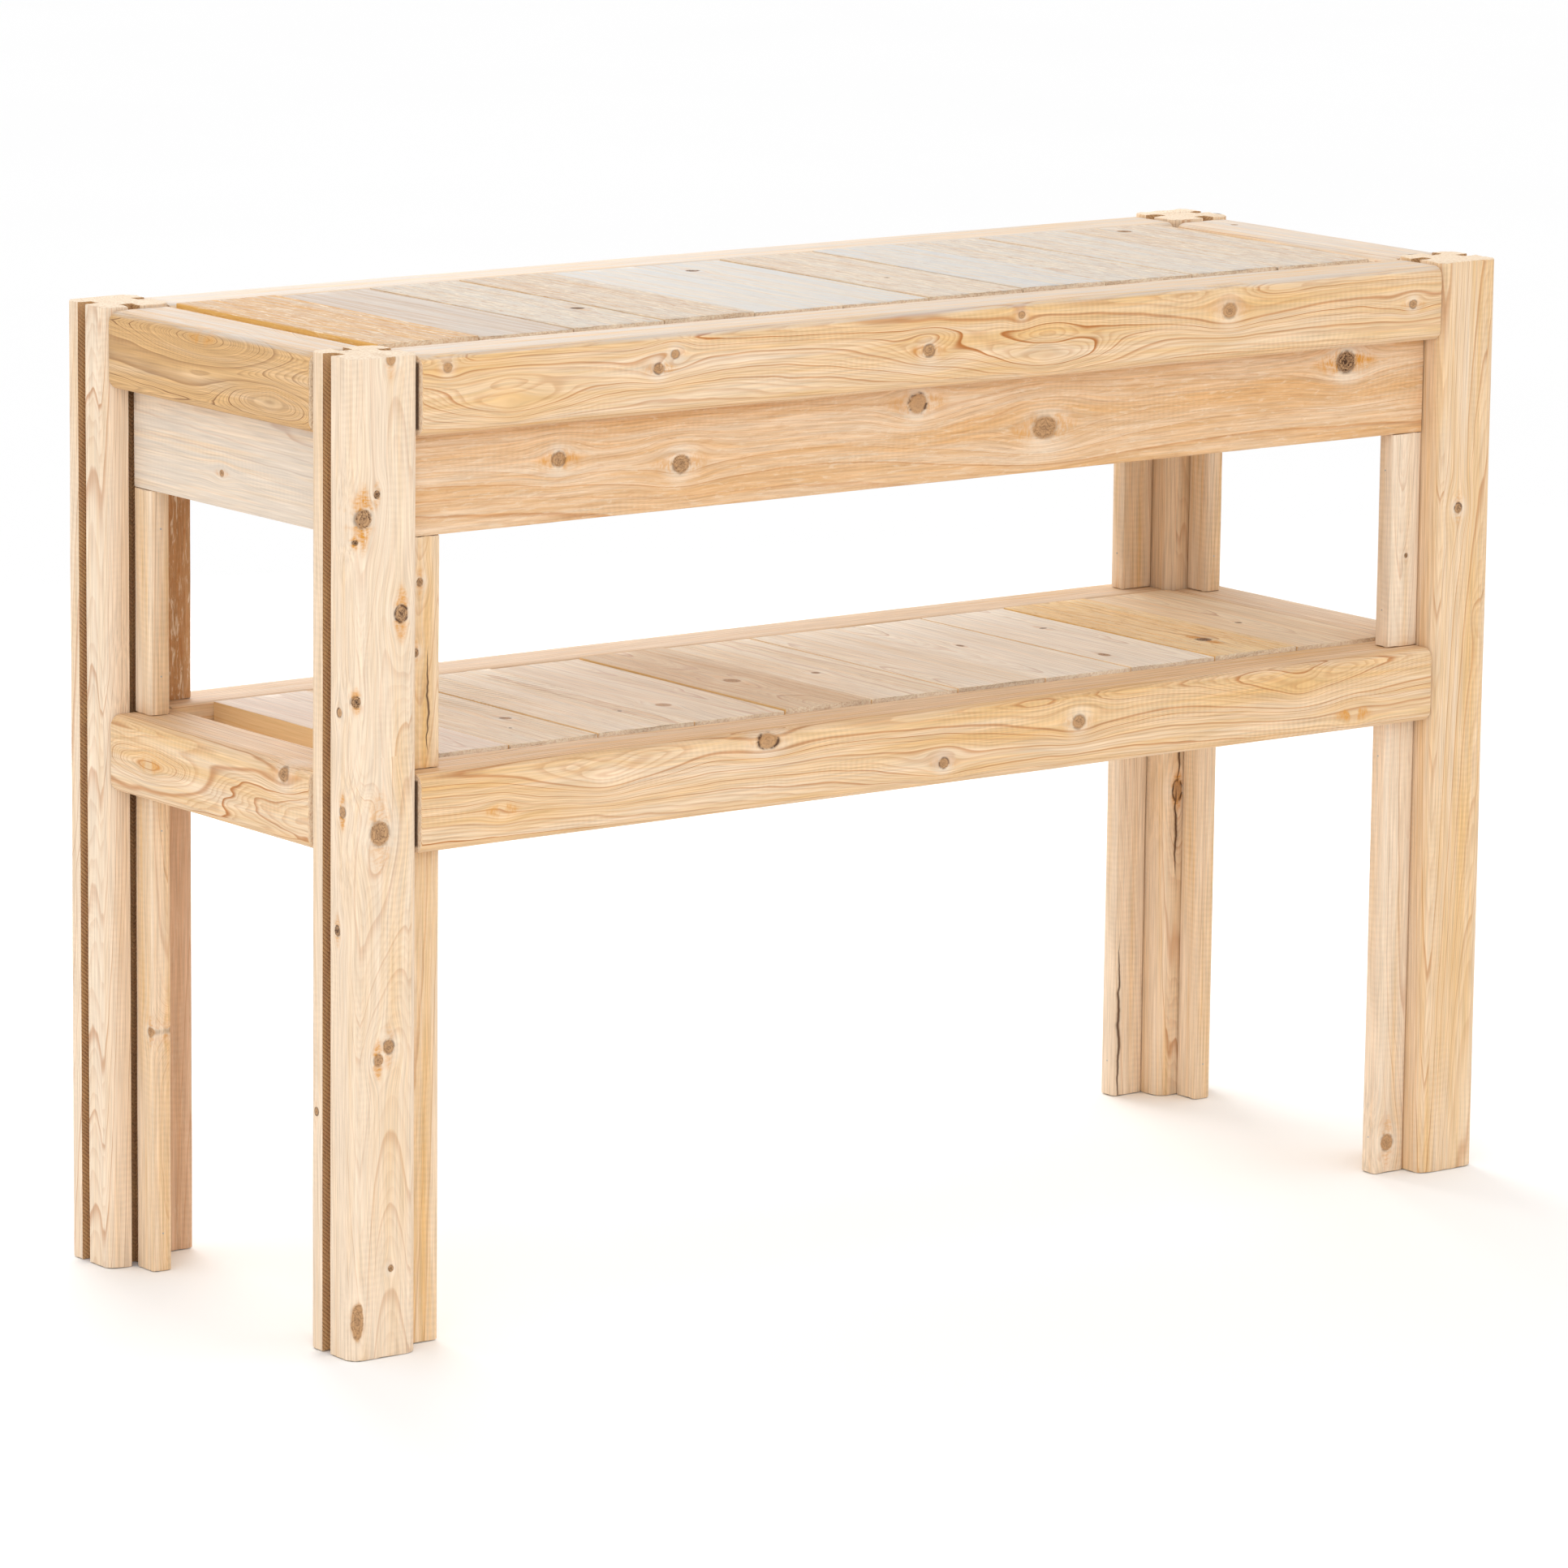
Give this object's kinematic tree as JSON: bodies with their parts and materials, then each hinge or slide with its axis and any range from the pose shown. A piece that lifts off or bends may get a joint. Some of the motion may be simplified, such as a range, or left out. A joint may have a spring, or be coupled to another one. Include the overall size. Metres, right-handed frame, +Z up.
{
  "type": "potting bench",
  "caption": "Unfinished cedar potting bench: plank worktop and half-height plank shelf set in rings of square timber rails between square timber legs.",
  "frame": {"origin": "on the floor, under the middle of the bench", "axes": "+X along the bench to the right of somebody standing in front of it, +Y from the front to the back, +Z up"},
  "size_m": [1.48, 0.528, 1],
  "materials": {
    "cedar_posts": "planed, unfinished",
    "cedar_rails": "planed, unfinished",
    "cedar_battens": "sawn, unfinished",
    "cedar_boards": "rough sawn, unfinished",
    "zinc_screws": "zinc plated",
    "bright_brads": "bright drawn"
  },
  "bodies": {
    "root": {"apron_back": "cedar_battens", "apron_front": "cedar_battens", "apron_left": "cedar_battens", "apron_right": "cedar_battens", "brads": "bright_brads", "cleat_lower_back_left_x": "cedar_battens", "cleat_lower_back_left_y": "cedar_battens", "cleat_lower_back_right_x": "cedar_battens", "cleat_lower_back_right_y": "cedar_battens", "cleat_lower_front_left_x": "cedar_battens", "cleat_lower_front_left_y": "cedar_battens", "cleat_lower_front_right_x": "cedar_battens", "cleat_lower_front_right_y": "cedar_battens", "cleat_upper_back_left_x": "cedar_battens", "cleat_upper_back_left_y": "cedar_battens", "cleat_upper_back_right_x": "cedar_battens", "cleat_upper_back_right_y": "cedar_battens", "cleat_upper_front_left_x": "cedar_battens", "cleat_upper_front_left_y": "cedar_battens", "cleat_upper_front_right_x": "cedar_battens", "cleat_upper_front_right_y": "cedar_battens", "post_back_left": "cedar_posts", "post_back_right": "cedar_posts", "post_front_left": "cedar_posts", "post_front_right": "cedar_posts", "shelf_board_01": "cedar_boards", "shelf_board_02": "cedar_boards", "shelf_board_03": "cedar_boards", "shelf_board_04": "cedar_boards", "shelf_board_05": "cedar_boards", "shelf_board_06": "cedar_boards", "shelf_board_07": "cedar_boards", "shelf_board_08": "cedar_boards", "shelf_board_09": "cedar_boards", "shelf_board_10": "cedar_boards", "shelf_board_11": "cedar_boards", "shelf_ledger_back": "cedar_battens", "shelf_ledger_front": "cedar_battens", "shelf_rail_back": "cedar_rails", "shelf_rail_front": "cedar_rails", "shelf_rail_left": "cedar_rails", "shelf_rail_right": "cedar_rails", "top_board_01": "cedar_boards", "top_board_02": "cedar_boards", "top_board_03": "cedar_boards", "top_board_04": "cedar_boards", "top_board_05": "cedar_boards", "top_board_06": "cedar_boards", "top_board_07": "cedar_boards", "top_board_08": "cedar_boards", "top_board_09": "cedar_boards", "top_board_10": "cedar_boards", "top_board_11": "cedar_boards", "top_ledger_back": "cedar_battens", "top_ledger_front": "cedar_battens", "top_rail_back": "cedar_rails", "top_rail_front": "cedar_rails", "top_rail_left": "cedar_rails", "top_rail_right": "cedar_rails", "wood_screws": "zinc_screws"}
  },
  "joints": []
}
